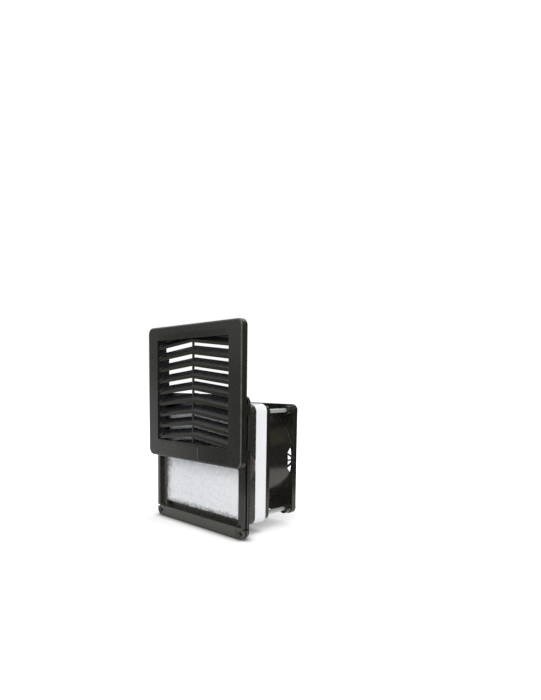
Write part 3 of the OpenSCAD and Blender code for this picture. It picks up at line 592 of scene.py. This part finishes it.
def add_skin(mesh, fleece):
    """The fleece's lumpy front, its sides and its flat back."""
    columns = round(2 * fleece.half.x / FLEECE_STEP)
    rows = round(2 * fleece.half.z / FLEECE_STEP)
    grid = []
    for i in range(columns + 1):
        points = [fleece.point(2 * i / columns - 1, 2 * k / rows - 1) for k in range(rows + 1)]
        grid.append([mesh.verts.new(point * MM) for point in points])
    for i in range(columns):
        for k in range(rows):
            mesh.faces.new((grid[i][k], grid[i + 1][k], grid[i + 1][k + 1], grid[i][k + 1]))
    rim = [grid[i][0] for i in range(columns)] + [grid[columns][k] for k in range(rows)]
    rim += [grid[i][rows] for i in range(columns, 0, -1)] + [grid[0][k] for k in range(rows, 0, -1)]
    back = [mesh.verts.new((v.co.x, fleece.back * MM, v.co.z)) for v in rim]
    for i in range(len(rim)):
        following = (i + 1) % len(rim)
        mesh.faces.new((rim[following], rim[i], back[i], back[following]))
    mesh.faces.new(reversed(back))


def fibre_points(fleece, rng):
    """Points of one curled strand on the fleece, which ends where it comes to the mat's edge."""
    across, up = rng.uniform(-FIBRE_FIELD, FIBRE_FIELD), rng.uniform(-FIBRE_FIELD, FIBRE_FIELD)
    start = fleece.point(across, up)
    heading = rng.uniform(0.0, 2 * math.pi)
    curl = rng.uniform(-FIBRE_CURL, FIBRE_CURL)
    step = rng.uniform(*FIBRE_LENGTH) / FIBRE_POINTS
    x, z = start.x, start.z
    points = []
    for i in range(FIBRE_POINTS):
        lift = FIBRE_LIFT * math.sin(math.pi * i / (FIBRE_POINTS - 1)) * rng.uniform(*FIBRE_LIFT_SPREAD)
        if fleece.edge_distance(x, z) < FIBRE_MARGIN:
            break
        height = fleece.pressed(x, fleece.proud(x, z) + lift)
        points.append(Vector((x, fleece.front - height, z)))
        x += step * math.cos(heading)
        z += step * math.sin(heading)
        heading += curl
    return points


def add_fibre(mesh, points):
    """A thin strand along the points."""
    rings = []
    for i, point in enumerate(points):
        ahead = points[min(i + 1, len(points) - 1)] - points[max(i - 1, 0)]
        side = ahead.cross(Vector((0.0, 1.0, 0.0))).normalized()
        other = ahead.cross(side).normalized()
        ring = []
        for corner in range(FIBRE_SIDES):
            angle = corner * 2 * math.pi / FIBRE_SIDES
            offset = math.cos(angle) * side + math.sin(angle) * other
            ring.append(mesh.verts.new((point + FIBRE_RADIUS * offset) * MM))
        rings.append(ring)
    for first, second in zip(rings, rings[1:]):
        for corner in range(FIBRE_SIDES):
            following = (corner + 1) % FIBRE_SIDES
            mesh.faces.new((first[corner], first[following], second[following], second[corner]))


def add_fibres(mesh, fleece):
    """Loose strands that lie on the fleece, seeded so that every run gives the same ones."""
    rng = random.Random(FIBRE_SEED)
    for _ in range(FIBRE_COUNT):
        points = fibre_points(fleece, rng)
        if len(points) > 2:
            add_fibre(mesh, points)


def make_fleece():
    """The filter mat as a soft body of fibres in place of the plain CAD slab."""
    fleece = Fleece()
    mesh = bmesh.new()
    add_skin(mesh, fleece)
    add_fibres(mesh, fleece)
    bmesh.ops.recalc_face_normals(mesh, faces=mesh.faces)
    for face in mesh.faces:
        face.smooth = True
    mat = mesh_object("fleece_mat", mesh, FINISHES["filter_fleece"])
    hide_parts("filter_mat")
    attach(mat, "wall_unit")


def make_world():
    """White where it is seen, softer where it lights the object."""
    world = bpy.data.worlds.new("studio")
    world.use_nodes = True
    w = Wiring(world.node_tree)
    seen = w.seen()
    colour = w.mix(seen, AMBIENT_TINT, (1.0, 1.0, 1.0))
    strength = w.span(seen, 0.0, 1.0, AMBIENT, 1.0)
    w.feed(w.nodes["Background"], {"Color": colour, "Strength": strength})
    bpy.context.scene.world = world


def floor_finish():
    """Pale and matt, dark close to the part and lifted to white far from it where it is seen."""
    f = Finish("floor", specular=0.1)
    contact = f.put("AmbientOcclusion", {"Distance": CONTACT_REACH}, samples=CONTACT_SAMPLES)
    open_share = f.span(contact.outputs["AO"], CONTACT_CLOSED, 1.0, CONTACT_DARK, 1.0)
    distance = f.put("VectorMath", {0: f.place}, operation="LENGTH").outputs["Value"]
    glow = f.sums("MULTIPLY", f.span(distance, *GLOW_REACH, GLOW_NEAR, GLOW_FAR), f.seen())
    glow = f.sums("MULTIPLY", glow, open_share)
    f.feed(f.shader, {"Emission Color": (1.0, 1.0, 1.0, 1.0), "Emission Strength": glow})
    return f.finish(f.mix(open_share, (0.0, 0.0, 0.0), FLOOR_COLOUR), FLOOR_ROUGHNESS)


def make_floor():
    """A wide pale floor under the part that keeps its shadow."""
    floor = square("floor", FLOOR_SIZE, floor_finish())
    floor.location.z = CAD_BOX[0].z


def flag_finish(name, brightness):
    """A board that glows evenly and reflects nothing."""
    f = Finish(name, specular=0.0)
    f.feed(f.shader, {"Emission Color": FLAG_TINTS.get(name, PLAIN_TINT), "Emission Strength": brightness})
    return f.finish((0.0, 0.0, 0.0, 1.0), FLAG_ROUGHNESS)


def make_flags():
    """Dark and pale boards around the part that show only in its glossy faces."""
    for name, (place, turn, width, height, brightness) in FLAGS.items():
        flag = square(name, 1.0, flag_finish(name, brightness))
        flag.location = place
        flag.scale = (width, height, 1.0)
        flag.rotation_euler = (math.radians(90), 0.0, math.radians(-turn))
        flag.visible_camera = False
        flag.visible_diffuse = False
        flag.visible_shadow = False


def make_lamps():
    """Large soft lamps that look at the part."""
    for name, (place, size, watts, tint) in LAMPS.items():
        lamp = bpy.data.lights.new(name, "AREA")
        lamp.shape = "RECTANGLE"
        lamp.size, lamp.size_y = size
        lamp.energy = watts
        lamp.color = tint
        holder = place_object(name, lamp)
        holder.location = place
        holder.rotation_euler = (LAMP_TARGET - holder.location).to_track_quat("-Z", "Y").to_euler()


def make_camera():
    """The camera at the photograph's place, with its frame shifted to the photograph's."""
    width, height = IMAGE_SIZE
    camera = bpy.data.cameras.new("camera")
    camera.sensor_width = SENSOR_MM
    camera.lens = FOCAL_PX / height * SENSOR_MM
    camera.shift_x = (width / 2 - CENTRE_PX[0]) / height
    camera.shift_y = (CENTRE_PX[1] - height / 2) / height
    camera.clip_start = CAMERA_NEAR
    holder = place_object("camera", camera)
    holder.location = CAMERA_AT
    holder.rotation_euler = (math.radians(90 + CAMERA_PITCH), 0.0, math.radians(-CAMERA_YAW))
    bpy.context.scene.camera = holder


bpy.context.scene.view_settings.view_transform = "Standard"
make_camera()
dress_nodes()
make_fleece()
make_world()
make_floor()
make_flags()
make_lamps()
